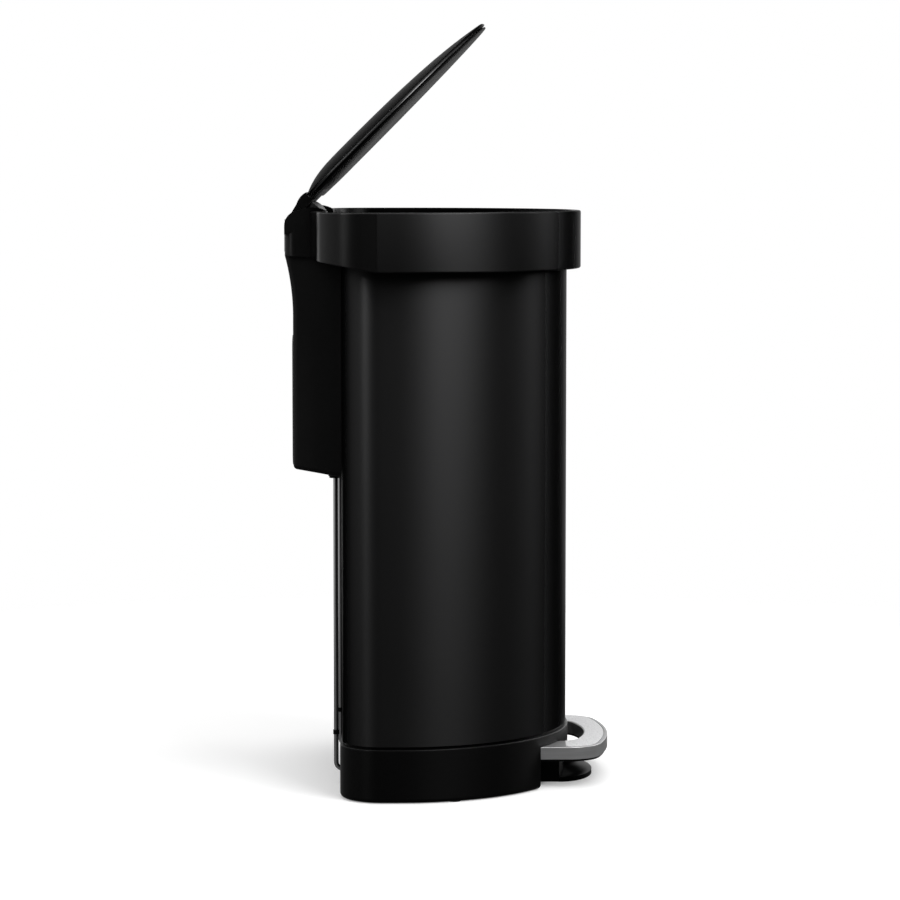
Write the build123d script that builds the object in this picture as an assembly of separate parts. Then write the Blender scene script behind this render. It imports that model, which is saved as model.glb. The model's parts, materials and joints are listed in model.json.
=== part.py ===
from build123d import *
import math
import os

# Pedal bin, millimetres. +Z up, front of the bin at -Y, mirror plane at X = 0.
# Origin: floor level, at the middle of the whole footprint (pedal tip to hinge housing).
# The lid is drawn shut and then turned up about its hinge to the stored pose.

# Steel body
can_height = 650.0
body_radius = 192.0
straight_depth = 61.5
body_corner = 45.0
body_wall = 1.0
hem_width = 10.0

# Plastic base
base_height = 60.0
base_proud = 2.5
base_wall = 3.0
base_round = 5.0
base_lip_round = 1.2
groove_height = 3.0
groove_depth = 2.5
deck_ring_height = 3.0
upstand_height = 9.0
upstand_wall = 2.5
flange_width = 18.0
flange_thick = 3.5
pad_radius = 7.0
pad_height = 2.0
pad_sunk = 1.5
pad_angle = 20.0
bracket_thick = 4.0
bracket_length = 30.0
bracket_drop = 12.0
bracket_front = 4.0

# Collar round the mouth
collar_height = 65.5
collar_ring = 9.5
lid_gap = 1.5
band_sheet = 1.2
collar_wall = 2.8
seam_setback = 20.5
ledge_thick = 3.0
lip_depth = 17.0
lip_wall = 2.7
collar_edge_round = 2.0
collar_low_round = 2.2
rear_low_round = 1.2
seam_rise = 14.0
housing_rise = 1.5
housing_round = 11.0
crease_out = 9.5
crease_lead = 17.0

# Bag ring
bag_flange = 6.0
bag_flange_thick = 1.5
bag_skirt_depth = 36.0
bag_skirt_wall = 2.0

# Hinge housing
hinge_reach = 47.5
hinge_drop = 16.0
cheek_in = 92.5
cheek_thick = 11.5
cheek_round = 17.0
cheek_rise = 4.5
well_front_wall = 2.8
well_floor = 3.0
well_clear = 1.5
cover_thick = 3.5
cover_height = 26.0
cover_proud = 0.5
cover_round = 1.2
pin_radius = 3.5
hinge_bush_wall = 2.5
hinge_bush_length = 6.5

# Liner pocket on the back
pocket_half_width = 100.0
pocket_depth = 55.5
pocket_height = 239.5
pocket_slope = 10.0
pocket_wall = 2.5
pocket_cove = 75.0
cove_share = 0.2
pocket_edge_round = 5.0
channel_gap = 10.0
channel_wall = 2.0
pocket_screw_inset = 30.0
pocket_screw_length = 10.0
pocket_boss_depth = 12.0
pocket_boss_wall = 3.2
panel_margin = 12.0
panel_height = 147.0
panel_proud = 1.4
panel_corner = 14.0
panel_edge_round = 0.9
slot_half_width = 56.0
slot_height = 90.0
slot_top_gap = 50.0
slot_corner = 12.0

# Lid
lid_over = 5.0
lid_rear_over = 15.5
lid_corner = 40.0
lid_sink = 2.5
lid_lip_height = 3.0
lid_dome = 12.8
dome_shares = (1.0, 0.95, 0.8, 0.5, 0.15)
dome_power = 3.2
dome_shift = 8.0
lid_sheet = 1.0
lid_groove = 1.6
lid_groove_inset = 3.5
lid_rim_thick = 2.0
lid_rim_inset = 1.5
lid_plug_height = 2.0
lid_plug_wall = 2.0
lid_tray_depth = 0.6
lid_tray_wall = 2.0
lid_tray_inset = 2.5
lid_tray_taper = 4.0
lid_tray_clear = 0.8
lid_open_angle = 45.0
lid_screw_inset = 5.0
bumper_radius = 2.2
bumper_angles = (25.0, 65.0, 115.0, 155.0)
neck_side_gap = 4.5
neck_lap = 14.0
neck_front_rise = 5.5
neck_rise = 6.2
neck_rear_rise = 3.4
neck_boss_lead = 6.0
barrel_radius = 8.0
barrel_gap = 12.0
neck_lug_thick = 5.5
drum_radius = 28.0
drum_wall = 3.0
drum_start = 161.0
drum_end = 250.0

# Pedal and its levers
pedal_reach = 48.5
pedal_drop = 12.0
pedal_wall_height = 14.0
pedal_sheet = 1.5
pedal_edge_round = 1.0
pedal_half_width = 108.0
pedal_front_radius = 300.0
pedal_corner = 38.0
pedal_bar = 27.0
pedal_inner_radius = 145.0
pedal_inner_corner = 18.0
pedal_rear_gap = 23.0
pedal_skirt = 2.5
pedal_frame_wall = 3.0
pedal_travel = 10.5
grip_tuck = 5.0
grip_rim = 3.4
grip_groove = 1.2
grip_round = 0.4
grip_sunk = 1.0
grip_thick = 1.5
arm_slot_clear = 1.5
arm_slot_top_clear = 1.0
axle_inset = 64.0
axle_drop = 30.0
axle_radius = 4.0
axle_end = 4.0
clip_width = 3.0
clip_thick = 1.2
bush_wall = 2.0
lever_offset = 1.0
lever_width = 14.0
lever_lead = 24.0
lever_nose_inset = 11.0
lever_nose_radius = 4.0
lever_hub_radius = 11.0
lever_half_depth = 10.0

# Lift rods and arms
rod_x = 76.0
rod_gap = 9.2
rod_radius = 2.7
rod_low = 15.0
rod_bend = 8.0
rod_leg_inset = 20.0
rod_slot_width = 9.0
rod_pin_radius = 2.5
rod_pin_length = 9.5
rod_sleeve_radius = 3.5
rod_sleeve_height = 5.0
guide_wall = 2.2
guide_flange = 2.0
guide_length = 12.0
guide_boss_height = 14.0
guide_boss_wall = 3.0
arm_thick = 4.0
fork_wall = 2.6
arm_hub_radius = 8.5

# Front foot
foot_half_width = 64.0
foot_depth = 39.0
foot_reach = 28.0
foot_rim_height = 6.0
foot_height = 20.0
foot_neck_half_width = 46.0
foot_neck_depth = 24.0
foot_edge_round = 1.0
foot_screw_height = 12.0
foot_screw_gap = 0.8

# Fasteners
screw_radius = 1.8
screw_head_radius = 4.0
screw_head_height = 2.0
screw_head_round = 0.9
cross_length = 4.2
cross_width = 0.9
cross_depth = 1.1

# Clearances, and the overrun of cutting and joining shapes
run_fit = 0.05
seat = 0.2
free = 0.4
over = 1.0
merge = 0.5

# Places along the depth, counted from the middle of the footprint
depth = pedal_reach + body_radius + straight_depth + hinge_reach + cheek_round + cover_proud
pedal_tip = -depth / 2
arc_y = pedal_tip + pedal_reach + body_radius
body_back = arc_y + straight_depth
base_front = arc_y - body_radius - base_proud
seam_y = arc_y + seam_setback
dome_centre = arc_y + dome_shift
lid_rear = body_back + lid_rear_over
hinge_y = body_back + hinge_reach
housing_back = hinge_y + cheek_round
pocket_front = body_back + seat
pocket_back = body_back + pocket_depth
rod_y = body_back + rod_gap
rod_leg_end = body_back - rod_leg_inset
axle_y = base_front + axle_inset
pedal_rear = axle_y - pedal_rear_gap
grip_rear = base_front + grip_tuck
lever_nose_y = body_back - lever_nose_inset
foot_front = base_front - foot_reach
neck_front = lid_rear - neck_lap

# Heights
ledge_drop = lid_sink + lid_groove + lid_rim_thick + lid_tray_depth + lid_tray_clear + bag_flange_thick
collar_low = can_height - collar_height
ledge_z = can_height - ledge_drop
hinge_z = can_height - hinge_drop
steel_low = base_height + groove_height
steel_top = ledge_z - ledge_thick - seat
well_z = hinge_z - drum_radius - well_clear
well_under = well_z - well_floor
pocket_low = well_under - pocket_height
guide_low = pocket_low - pocket_slope
lid_low = can_height - lid_sink
rim_low = lid_low - lid_groove - lid_rim_thick
plug_low = lid_low + seat
plug_top = plug_low + lid_plug_height
axle_z = base_height - axle_drop
pedal_top = base_height - pedal_drop
pedal_low = pedal_top - pedal_wall_height

# Widths
lid_radius = body_radius + lid_over
collar_grow = lid_gap + collar_ring
crease_y = lid_rear + collar_grow + crease_out
cheek_out = cheek_in + cheek_thick
neck_half_width = cheek_in - neck_side_gap
barrel_half_width = rod_x - barrel_gap
channel_half_width = rod_x - channel_gap
arm_inner_x = rod_x + rod_radius + free
lever_x = rod_x + lever_offset
pedal_inner_half_width = lever_x - lever_width / 2 - 2 * pedal_sheet

# Travel: the lever noses lift the rods, and the rods turn the lift arms
lever_nose_z = rod_low - free - lever_nose_radius
lever_reach = lever_nose_y - axle_y
press = math.radians(pedal_travel)
rod_rise = lever_reach * math.sin(press) + (lever_nose_z - axle_z) * (math.cos(press) - 1)
crank_reach = hinge_y - rod_y
crank_half_angle = math.degrees(math.atan(rod_rise / 2 / crank_reach))
rod_pin_z = hinge_z - rod_rise / 2


def rounded_d(radius, back, corner, centre=arc_y):
    """D-shaped plan: half circle in front, straight sides, rounded corners, flat back."""
    side_end = back - corner
    turn = corner * math.sqrt(0.5)
    inner = radius - corner
    return make_face(
        [
            ThreePointArc((-radius, centre), (0, centre - radius), (radius, centre)),
            Line((radius, centre), (radius, side_end)),
            ThreePointArc((radius, side_end), (inner + turn, side_end + turn), (inner, back)),
            Line((inner, back), (-inner, back)),
            ThreePointArc((-inner, back), (-inner - turn, side_end + turn), (-radius, side_end)),
            Line((-radius, side_end), (-radius, centre)),
        ]
    )


def body_plan(grow):
    return rounded_d(body_radius + grow, body_back + grow, body_corner + grow)


def lid_plan(grow):
    return rounded_d(lid_radius + grow, lid_rear + grow, lid_corner + grow)


def prism(plan, low, high):
    """Plan face carried straight up from one height to another."""
    return extrude(Pos(0, 0, low) * plan, amount=high - low)


def across(profile, low, high):
    """Side profile (Y, Z) carried along X from one side to the other."""
    return extrude(Plane.YZ.offset(low) * profile, amount=high - low)


def block(x_range, y_range, z_range):
    """Box between two corners."""
    size = [high - low for low, high in (x_range, y_range, z_range)]
    centre = [(high + low) / 2 for low, high in (x_range, y_range, z_range)]
    return Pos(*centre) * Box(*size)


def rod_along_x(radius, y, z, low, high):
    return across(Pos(y, z) * Circle(radius), low, high)


def peg(x, y, low, high, radius):
    return Pos(x, y, (low + high) / 2) * Cylinder(radius, high - low)


def screw(length, radius):
    """Pan-head screw along +Z, with its head below the origin and a cross recess in it."""
    head = Pos(0, 0, -screw_head_height / 2) * Cylinder(screw_head_radius, screw_head_height)
    head = fillet(head.edges().sort_by(Axis.Z)[0], screw_head_round)
    for turn in (0, 90):
        head -= Pos(0, 0, -screw_head_height) * Rot(0, 0, turn) * Box(cross_length, cross_width, 2 * cross_depth)
    return head + Pos(0, 0, (length - merge) / 2) * Cylinder(radius, length + merge)


def both_sides(make):
    """The same piece at the right and, mirrored, at the left."""
    right = make()
    return [right, mirror(right, about=Plane.YZ)]


def group(solids):
    return Compound(children=[solid for piece in solids for solid in piece.solids()])


def raise_lid(piece):
    """Turn a piece of the shut lid up to its stored pose."""
    return piece.rotate(Axis((0, hinge_y, hinge_z), (-1, 0, 0)), lid_open_angle)


# Steel body, bag ring and liner slot

def pocket_screw_places():
    x = pocket_half_width - pocket_wall - screw_head_radius
    heights = (pocket_low + pocket_screw_inset, well_under - pocket_screw_inset)
    return [(side * x, z) for side in (-1, 1) for z in heights]


def base_screw_places():
    inset = hem_width - screw_head_radius
    side = body_radius - inset
    return [(-side, arc_y), (side, arc_y), (-side / 2, body_back - inset), (side / 2, body_back - inset)]


def liner_slot(y_low, y_high):
    top = well_under - slot_top_gap
    hole = RectangleRounded(2 * slot_half_width, slot_height, slot_corner)
    face = Plane.XZ * (Pos(0, top - slot_height / 2) * hole)
    return Pos(0, y_high, 0) * extrude(face, amount=y_high - y_low)


def body_shell():
    shell = prism(body_plan(0) - body_plan(-body_wall), steel_low, steel_top)
    shell += prism(body_plan(-body_wall / 2) - body_plan(-hem_width), steel_low, steel_low + body_wall)
    shell -= liner_slot(body_back - 2 * body_wall, body_back + body_wall)
    for x, z in pocket_screw_places():
        shell -= Pos(x, body_back, z) * Rot(90, 0, 0) * Cylinder(screw_radius + seat, 4 * body_wall)
    for x, y in base_screw_places():
        shell -= peg(x, y, steel_low - body_wall, steel_low + 2 * body_wall, screw_radius + seat)
    return shell


def bag_ring():
    outer = -body_wall
    skirt_out = -body_wall - seat - lip_wall - seat
    ring = prism(body_plan(outer) - body_plan(outer - bag_flange), ledge_z, ledge_z + bag_flange_thick)
    skirt = body_plan(skirt_out) - body_plan(skirt_out - bag_skirt_wall)
    return ring + prism(skirt, ledge_z - bag_skirt_depth, ledge_z + bag_flange_thick / 2)


# Base

def arm_openings():
    """Front openings that the two pedal arms swing in."""
    top = pedal_top + arm_slot_top_clear
    low = pedal_inner_half_width - arm_slot_clear
    high = pedal_half_width + arm_slot_clear
    rear = axle_y - axle_radius - bracket_front
    gap = block((low, high), (pedal_tip, rear), (-pad_height, top))
    return [gap, mirror(gap, about=Plane.YZ)]


def arm_wells():
    """Walls that close the arm openings towards the middle, each one with a bracket."""
    high = bracket_places()[0] + bracket_thick
    low = pedal_inner_half_width - arm_slot_clear - base_wall
    rear = axle_y + bracket_length / 2
    wall = block((low, high), (base_front, rear), (pad_height - pad_sunk, base_height))
    wall &= prism(body_plan(base_proud - base_wall / 2), 0, base_height)
    return [wall, mirror(wall, about=Plane.YZ)]


def rod_openings():
    """Upright slots in the back wall for the lower legs of the rods."""
    low = rod_low - rod_radius
    high = rod_low + rod_rise + 2 * rod_radius + free
    slots = []
    for x in (-rod_x, rod_x):
        slots.append(
            block(
                (x - rod_slot_width / 2, x + rod_slot_width / 2),
                (rod_leg_end - rod_radius, rod_y),
                (low, high),
            )
        )
    return slots


def bracket_places():
    inner = lever_x - lever_width / 2 - free - bracket_thick
    outer = lever_x + lever_width / 2 + free
    return [inner, outer, -inner - bracket_thick, -outer - bracket_thick]


def pad_places():
    """Rubber pads on the bottom flange, on the arc and along the back."""
    reach = body_radius + base_proud - flange_width / 2
    x = reach * math.cos(math.radians(pad_angle))
    front = arc_y - reach * math.sin(math.radians(pad_angle))
    rear = body_back + base_proud - flange_width / 2
    rear_x = body_radius / 2 + rod_slot_width
    return [(x, front), (-x, front), (-rear_x, rear), (rear_x, rear)]


def base_pan():
    skirt_low = pad_height - pad_sunk
    outer = body_plan(base_proud)
    inner = body_plan(base_proud - base_wall)
    pan = prism(outer, skirt_low, base_height)
    pan = fillet(pan.faces().sort_by(Axis.Z)[0].edges(), base_round)
    pan = fillet(pan.faces().sort_by(Axis.Z)[-1].edges(), base_lip_round)
    pan -= prism(inner, skirt_low + flange_thick, base_height - deck_ring_height)
    pan -= prism(body_plan(base_proud - flange_width), 0, base_height - deck_ring_height)
    pan -= prism(body_plan(-hem_width), base_height - deck_ring_height, base_height)
    pan += prism(body_plan(-groove_depth), base_height, steel_low)
    ring = body_plan(-hem_width - seat) - body_plan(-hem_width - seat - upstand_wall)
    pan += prism(ring, steel_low, steel_low + upstand_height)
    for low in bracket_places():
        web = block(
            (low, low + bracket_thick),
            (axle_y - bracket_length / 2, axle_y + bracket_length / 2),
            (axle_z - bracket_drop, base_height),
        )
        pan += web
    for wall in arm_wells():
        pan += wall
    pan -= rod_along_x(axle_radius + run_fit, axle_y, axle_z, -pedal_half_width, pedal_half_width)
    for gap in arm_openings() + rod_openings():
        pan -= gap
    for x, y in pad_places():
        pan -= peg(x, y, 0, pad_height, pad_radius + run_fit)
    for x, y in base_screw_places():
        pan -= peg(x, y, base_height - 2 * deck_ring_height, steel_low, screw_radius + seat)
    for x in foot_screw_x():
        pan -= foot_screw_place(x) * Cylinder(screw_radius + seat, 4 * base_wall)
    return pan


def foot_wall_y(x):
    """Front of the base wall at a distance from the middle."""
    return arc_y - math.sqrt((body_radius + base_proud) ** 2 - x**2)


def foot_screw_x():
    return [-foot_neck_half_width / 2, foot_neck_half_width / 2]


def foot_screw_place(x):
    """Front face of the base wall, turned so that +Z there points to the front."""
    return Pos(x, foot_wall_y(x), foot_screw_height) * Rot(90, 0, 0)


def front_foot():
    """Flared half-oval foot in front of the base, under the pedal loop."""
    centre = foot_front + foot_depth
    rim = Pos(0, centre) * Ellipse(foot_half_width, foot_depth)
    neck = Pos(0, centre) * Ellipse(foot_neck_half_width, foot_neck_depth)
    flare = loft([Pos(0, 0, foot_rim_height) * rim, Pos(0, 0, foot_height) * neck])
    foot = prism(rim, 0, foot_rim_height) + flare
    foot = fillet(foot.edges().filter_by_position(Axis.Z, foot_rim_height, foot_rim_height), foot_edge_round)
    foot -= prism(body_plan(base_proud + seat), -over, foot_height + over)
    for x in foot_screw_x():
        foot -= foot_screw_place(x) * Cylinder(screw_radius - seat / 2, 4 * base_wall)
    return foot


def foot_screws():
    inside = Pos(0, 0, -base_wall - foot_screw_gap)
    long = 2 * base_wall
    return group([foot_screw_place(x) * inside * screw(long, screw_radius - seat) for x in foot_screw_x()])


def foot_pads():
    return group([peg(x, y, 0, pad_height, pad_radius) for x, y in pad_places()])


def base_screws():
    head_top = base_height - deck_ring_height
    length = steel_low + 2 * body_wall - head_top
    return group([Pos(x, y, head_top) * screw(length, screw_radius) for x, y in base_screw_places()])


# Collar

def crease_fill(side):
    """Sweep that leads the back of the collar into the hinge housing."""
    start = side * (lid_radius - lid_corner - crease_lead)
    back = lid_rear + collar_grow
    return make_face(
        [
            TangentArc((start, back), (side * cheek_out, crease_y), tangent=(-side, 0)),
            Line((side * cheek_out, crease_y), (side * cheek_out, back - collar_ring)),
            Line((side * cheek_out, back - collar_ring), (start, back - collar_ring)),
            Line((start, back - collar_ring), (start, back)),
        ]
    )


def housing_plan():
    width = 2 * cheek_out
    front = body_back
    plan = Pos(0, (front + housing_back) / 2) * Rectangle(width, housing_back - front)
    rear = plan.vertices().sort_by(Axis.Y)[-2:]
    return fillet(rear, housing_round)


def cheek_profile():
    """Side view of a hinge cheek: a low crest, then a round back about the hinge."""
    front = lid_rear + lid_gap
    top = hinge_z + cheek_round
    turn = cheek_round * math.sqrt(0.5)
    foot = can_height - ledge_drop
    return make_face(
        [
            Line((front, foot), (front, can_height)),
            ThreePointArc((front, can_height), ((front + hinge_y) / 2, can_height + cheek_rise), (hinge_y, top)),
            ThreePointArc((hinge_y, top), (hinge_y + turn, hinge_z + turn), (housing_back, hinge_z)),
            Line((housing_back, hinge_z), (housing_back, foot - cheek_round)),
            Line((housing_back, foot - cheek_round), (front, foot)),
        ]
    )


def rear_underside():
    """Side view of the space under the rising lower edge of the rear collar."""
    rise = collar_low + seam_rise
    return make_face(
        Polyline(
            (seam_y, collar_low),
            (crease_y, rise),
            (housing_back + over, rise + housing_rise),
            (housing_back + over, collar_low - over),
            (seam_y, collar_low - over),
            close=True,
        )
    )


def rear_collar():
    """Moulded rear of the collar before it is hollowed, with its edges rounded."""
    wide = 2 * body_radius
    rear = prism(lid_plan(collar_grow), collar_low, can_height)
    for side in (-1, 1):
        rear += prism(crease_fill(side), collar_low, can_height)
    rear = fillet(rear.faces().sort_by(Axis.Z)[-1].edges(), collar_edge_round)
    rear += prism(housing_plan(), collar_low, can_height - ledge_drop)
    rear -= block((-wide, wide), (-wide, seam_y), (0, 2 * can_height))
    rear -= across(rear_underside(), -wide, wide)
    low = [face for face in rear.faces() if face.normal_at().Z < -0.5]
    edges = [edge for face in low for edge in face.edges() if edge.center().Y > seam_y + merge]
    outer = [edge for edge in edges if sum(edge.is_same(other) for other in edges) == 1]
    return fillet(outer, rear_low_round)


def collar_frame():
    """Plastic ring round the mouth with the hinge housing at its back."""
    wide = 2 * body_radius
    inner = body_plan(-body_wall - seat - lip_wall)
    front = prism(lid_plan(collar_grow - band_sheet - seat), collar_low + band_sheet + seat, can_height)
    front -= block((-wide, wide), (seam_y, wide), (0, 2 * can_height))
    front -= prism(lid_plan(collar_grow), can_height - band_sheet - seat, 2 * can_height)
    frame = front + rear_collar()
    frame -= prism(inner, 0, can_height + over)
    frame -= prism(body_plan(-body_wall - seat), 0, ledge_z - lip_depth)
    frame -= prism(body_plan(seat) - body_plan(-body_wall - seat), 0, steel_top + seat)
    frame -= prism(lid_plan(lid_gap), ledge_z, 2 * can_height)
    hollow = lid_plan(collar_grow - collar_wall) - body_plan(collar_wall)
    hollow -= Pos(0, body_back + wide / 2) * Rectangle(2 * cheek_out, wide + collar_wall)
    frame -= prism(hollow, 0, ledge_z - ledge_thick)
    frame += across(cheek_profile(), cheek_in, cheek_out)
    frame += across(cheek_profile(), -cheek_out, -cheek_in)
    well = (body_back + well_front_wall, housing_back + over)
    frame -= block((-cheek_in, cheek_in), well, (well_z, 2 * can_height))
    under = pocket_half_width + seat
    frame -= block((-under, under), (pocket_front, housing_back + over), (0, well_under))
    for x in (-rod_x, rod_x):
        frame -= peg(x, rod_y, well_under - over, well_z + over, rod_radius + free)
    bush = hinge_bush_length + run_fit
    frame -= rod_along_x(pin_radius + hinge_bush_wall, hinge_y, hinge_z, -cheek_in - bush, cheek_in + bush)
    return frame


def collar_band():
    """Steel cladding of the front of the collar, with its edges turned in."""
    wide = 2 * body_radius
    outside = lid_plan(collar_grow)
    inside = lid_plan(collar_grow - band_sheet)
    band = prism(outside, collar_low, can_height)
    band = fillet(band.faces().sort_by(Axis.Z)[-1].edges(), collar_edge_round)
    band = fillet(band.faces().sort_by(Axis.Z)[0].edges(), collar_low_round)
    band -= prism(inside, collar_low + band_sheet, can_height - band_sheet)
    band -= prism(lid_plan(lid_gap), collar_low - over, can_height + over)
    band -= block((-wide, wide), (seam_y - seat, wide), (0, 2 * can_height))
    return band


def hinge_cover():
    """Plate that closes the back of the hinge well."""
    half = cheek_in - seat
    back = housing_back + cover_proud
    plate = block((-half, half), (back - cover_thick, back), (well_z, well_z + cover_height))
    return fillet(plate.faces().sort_by(Axis.Y)[-1].edges(), cover_round)


def hinge_pin():
    reach = cheek_in + hinge_bush_length - seat
    return rod_along_x(pin_radius, hinge_y, hinge_z, -reach, reach)


def hinge_bushes():
    def bush():
        outer = pin_radius + hinge_bush_wall - run_fit
        ring = Circle(outer) - Circle(pin_radius + run_fit)
        return across(Pos(hinge_y, hinge_z) * ring, cheek_in, cheek_in + hinge_bush_length)

    return group(both_sides(bush))


# Liner pocket

def pocket_profile(inset):
    """Side view of the pocket, with its hollow curve up to the hinge housing."""
    low = pocket_low + inset
    back = pocket_back - inset
    cove_low = well_under - pocket_cove
    top = well_under - inset
    reach = housing_back - inset
    front_low = low - pocket_slope
    swell = (back + (reach - back) * cove_share, (cove_low + top) / 2)
    return make_face(
        [
            Line((pocket_front, front_low), (back, low)),
            Line((back, low), (back, cove_low)),
            ThreePointArc((back, cove_low), swell, (reach, top)),
            Line((reach, top), (pocket_front, top)),
            Line((pocket_front, top), (pocket_front, front_low)),
        ]
    )


def guide_places():
    return [(-rod_x, rod_y), (rod_x, rod_y)]


def liner_pocket():
    half = pocket_half_width
    pocket = across(pocket_profile(0), -half, half)
    rear = pocket.edges().filter_by_position(Axis.Y, pocket_back - merge, housing_back)
    under = pocket.faces().sort_by(Axis.Z)[0].edges().sort_by(Axis.Y)[1:]
    pocket = fillet(rear.filter_by(Axis.X, reverse=True) + under, pocket_edge_round)
    room = half - pocket_wall
    hollow = across(pocket_profile(pocket_wall), -room, room)
    mouth = (pocket_front - over, pocket_front + pocket_wall)
    hollow += block((-room, room), mouth, (pocket_low, well_under - pocket_wall))
    pocket -= hollow
    wall_out = channel_half_width + channel_wall
    for low in (channel_half_width, -wall_out):
        pocket += across(pocket_profile(pocket_wall / 2), low, low + channel_wall)
    guide = rod_radius + run_fit + guide_wall
    boss_top = guide_low + guide_boss_height
    for x, y in guide_places():
        pocket += peg(x, y, guide_low, boss_top, guide + guide_boss_wall)
    pocket -= block((-half, half), (0, pocket_front), (0, can_height))
    for x, y in guide_places():
        pocket -= peg(x, y, guide_low - over, boss_top + over, guide + run_fit)
        pocket -= peg(x, y, well_under - 2 * pocket_wall, well_under + over, rod_radius + free)
    for x, z in pocket_screw_places():
        boss = Pos(x, pocket_front + pocket_boss_depth / 2, z) * Rot(90, 0, 0)
        pocket += boss * Cylinder(screw_radius + pocket_boss_wall, pocket_boss_depth)
        pocket -= boss * Cylinder(screw_radius + run_fit, pocket_boss_depth + over)
    return pocket


def pocket_panel():
    """Raised plate on the back of the pocket."""
    width = 2 * (pocket_half_width - panel_margin)
    plate = RectangleRounded(width, panel_height, panel_corner)
    middle = pocket_low + pocket_edge_round / 2 + panel_height / 2
    face = Plane.XZ * (Pos(0, middle) * plate)
    panel = Pos(0, pocket_back + panel_proud, 0) * extrude(face, amount=panel_proud)
    return fillet(panel.faces().sort_by(Axis.Y)[-1].edges(), panel_edge_round)


def pocket_screws():
    screws = []
    for x, z in pocket_screw_places():
        place = Pos(x, body_back - body_wall, z) * Rot(-90, 0, 0)
        screws.append(place * screw(pocket_screw_length - merge, screw_radius))
    return group(screws)


def rod_guides():
    bore = rod_radius + run_fit
    bushes = []
    for x, y in guide_places():
        bush = peg(x, y, guide_low - guide_flange, guide_low + guide_length, bore + guide_wall)
        bush += peg(x, y, guide_low - guide_flange, guide_low, bore + guide_wall + guide_flange)
        bush -= peg(x, y, 0, can_height, bore)
        bushes.append(bush)
    return group(bushes)


# Pedal and its lever

def pedal_outer(inset):
    """Plan of the pedal's outside: straight arms and a gently bowed front."""
    half = pedal_half_width - inset
    radius = pedal_front_radius - inset
    centre = pedal_tip + pedal_front_radius
    front = centre - math.sqrt(radius**2 - half**2)
    shape = make_face(
        [
            Line((half, pedal_rear), (-half, pedal_rear)),
            Line((-half, pedal_rear), (-half, front)),
            ThreePointArc((-half, front), (0, centre - radius), (half, front)),
            Line((half, front), (half, pedal_rear)),
        ]
    )
    return fillet(shape.vertices().sort_by(Axis.Y)[:2], pedal_corner - inset)


def pedal_inner(grow):
    """Plan of the open loop inside the pedal."""
    half = pedal_inner_half_width + grow
    radius = pedal_inner_radius + grow
    centre = pedal_tip + pedal_bar + pedal_inner_radius
    front = centre - math.sqrt(radius**2 - half**2)
    rear = pedal_rear + over
    shape = make_face(
        [
            Line((half, rear), (-half, rear)),
            Line((-half, rear), (-half, front)),
            ThreePointArc((-half, front), (0, centre - radius), (half, front)),
            Line((half, front), (half, rear)),
        ]
    )
    return fillet(shape.vertices().sort_by(Axis.Y)[:2], pedal_inner_corner + grow)


def pedal_loop(inset):
    return pedal_outer(inset) - pedal_inner(inset)


def grip_plan(inset):
    front = pedal_tip - over
    area = Pos(0, (front + grip_rear) / 2) * Rectangle(3 * pedal_half_width, grip_rear - front)
    return pedal_loop(inset) & area


def pedal_cap():
    cap = prism(pedal_loop(0), pedal_low, pedal_top)
    cap = fillet(cap.faces().sort_by(Axis.Z)[-1].edges(), pedal_edge_round)
    cap -= prism(pedal_loop(pedal_sheet), pedal_low - over, pedal_top - pedal_sheet - grip_sunk)
    cap -= prism(grip_plan(grip_rim), pedal_top - grip_sunk, pedal_top + over)
    return cap


def pedal_grip():
    low = pedal_top - grip_sunk
    grip = prism(grip_plan(grip_rim + grip_groove), low, low + grip_thick)
    return fillet(grip.faces().sort_by(Axis.Z)[-1].edges(), grip_round)


def lever_profile():
    """Side view of one lever: level under the pedal, then down to a round nose."""
    top = pedal_top - pedal_sheet - grip_sunk - seat
    front = pedal_rear - lever_lead
    low = pedal_low - pedal_skirt
    nose = (lever_nose_y, lever_nose_z)
    hub = Pos(axle_y, axle_z) * Circle(lever_hub_radius)
    beam = make_face(
        Polyline(
            (front, low),
            (front, top),
            (pedal_rear, top),
            (axle_y, axle_z + lever_half_depth),
            (rod_leg_end - rod_radius, nose[1] + lever_nose_radius),
            (nose[0], nose[1] + lever_nose_radius),
            (nose[0], nose[1] - lever_nose_radius),
            (axle_y, axle_z - lever_half_depth),
            (pedal_rear, low),
            close=True,
        )
    )
    return beam + hub + Pos(*nose) * Circle(lever_nose_radius)


def pedal_frame():
    """Moulded underside of the pedal with the two levers that reach the rods."""
    inset = pedal_sheet + seat
    low = pedal_low - pedal_skirt
    top = pedal_top - pedal_sheet - grip_sunk - seat
    frame = prism(pedal_loop(inset), low, top)
    frame -= prism(pedal_loop(inset + pedal_frame_wall), low - over, top - pedal_frame_wall)
    half = lever_width / 2
    for x in (-lever_x, lever_x):
        frame += across(lever_profile(), x - half, x + half)
    bore = axle_radius + run_fit + bush_wall
    frame -= rod_along_x(bore + run_fit, axle_y, axle_z, -pedal_half_width, pedal_half_width)
    return frame


def pedal_bushes():
    bore = axle_radius + run_fit

    def bush():
        ring = Circle(bore + bush_wall) - Circle(bore)
        return across(Pos(axle_y, axle_z) * ring, lever_x - lever_width / 2, lever_x + lever_width / 2)

    return group(both_sides(bush))


def axle_half_length():
    return bracket_places()[1] + bracket_thick + axle_end


def pedal_axle():
    return rod_along_x(axle_radius, axle_y, axle_z, -axle_half_length(), axle_half_length())


def axle_clips():
    def clip():
        low = bracket_places()[1] + bracket_thick + seat
        ring = Circle(axle_radius + clip_width) - Circle(axle_radius + run_fit / 2)
        mouth = axle_radius + clip_width + over
        ring -= Pos(0, -mouth / 2) * Rectangle(axle_radius, mouth)
        return across(Pos(axle_y, axle_z) * ring, low, low + clip_thick)

    return group(both_sides(clip))


# Lift rods and arms

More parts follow.
